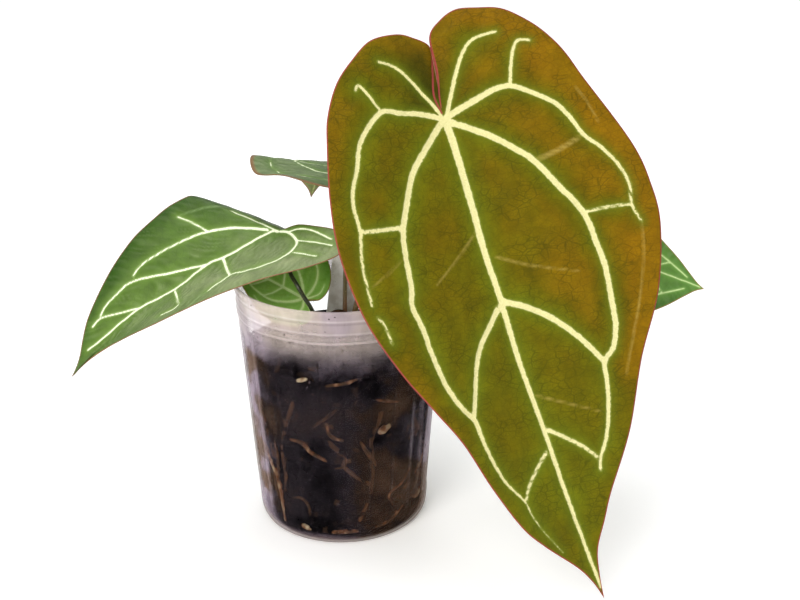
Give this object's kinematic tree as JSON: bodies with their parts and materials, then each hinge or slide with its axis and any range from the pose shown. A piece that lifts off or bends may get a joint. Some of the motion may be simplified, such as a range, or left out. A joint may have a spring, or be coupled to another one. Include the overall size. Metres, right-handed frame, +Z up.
{
  "type": "potted anthurium hybrid",
  "caption": "Aroid house plant in a soft translucent nursery pot: pendant heart-shaped leaves with pale veins on thin petioles, bark mix, roots and a bare tag.",
  "frame": {"origin": "middle of the pot's round base, on the surface it stands on", "axes": "+Z up along the pot's axis; the big leaf faces -Y and the left leaf points to -X"},
  "size_m": [0.3284, 0.2254, 0.2609],
  "materials": {
    "pot_plastic": "translucent frosted",
    "bark_mix": "rough damp bark",
    "root": "matte cork skin",
    "tag_plastic": "matte",
    "leaf_bronze": "satin, olive bronze with cream veins",
    "leaf_green": "satin, green with cream veins",
    "petiole_red": "smooth, dark red brown",
    "petiole_green": "smooth, olive"
  },
  "bodies": {
    "root": {"nursery_pot": "pot_plastic", "potting_mix": "bark_mix", "stem_and_roots": "root", "plant_tag": "tag_plastic", "blade_front": "leaf_bronze", "petiole_front": "petiole_red", "blade_left": "leaf_green", "petiole_left": "petiole_green", "blade_back": "leaf_green", "petiole_back": "petiole_green", "blade_low": "leaf_green", "petiole_low": "petiole_green", "blade_right": "leaf_green", "petiole_right": "petiole_green"}
  },
  "joints": []
}
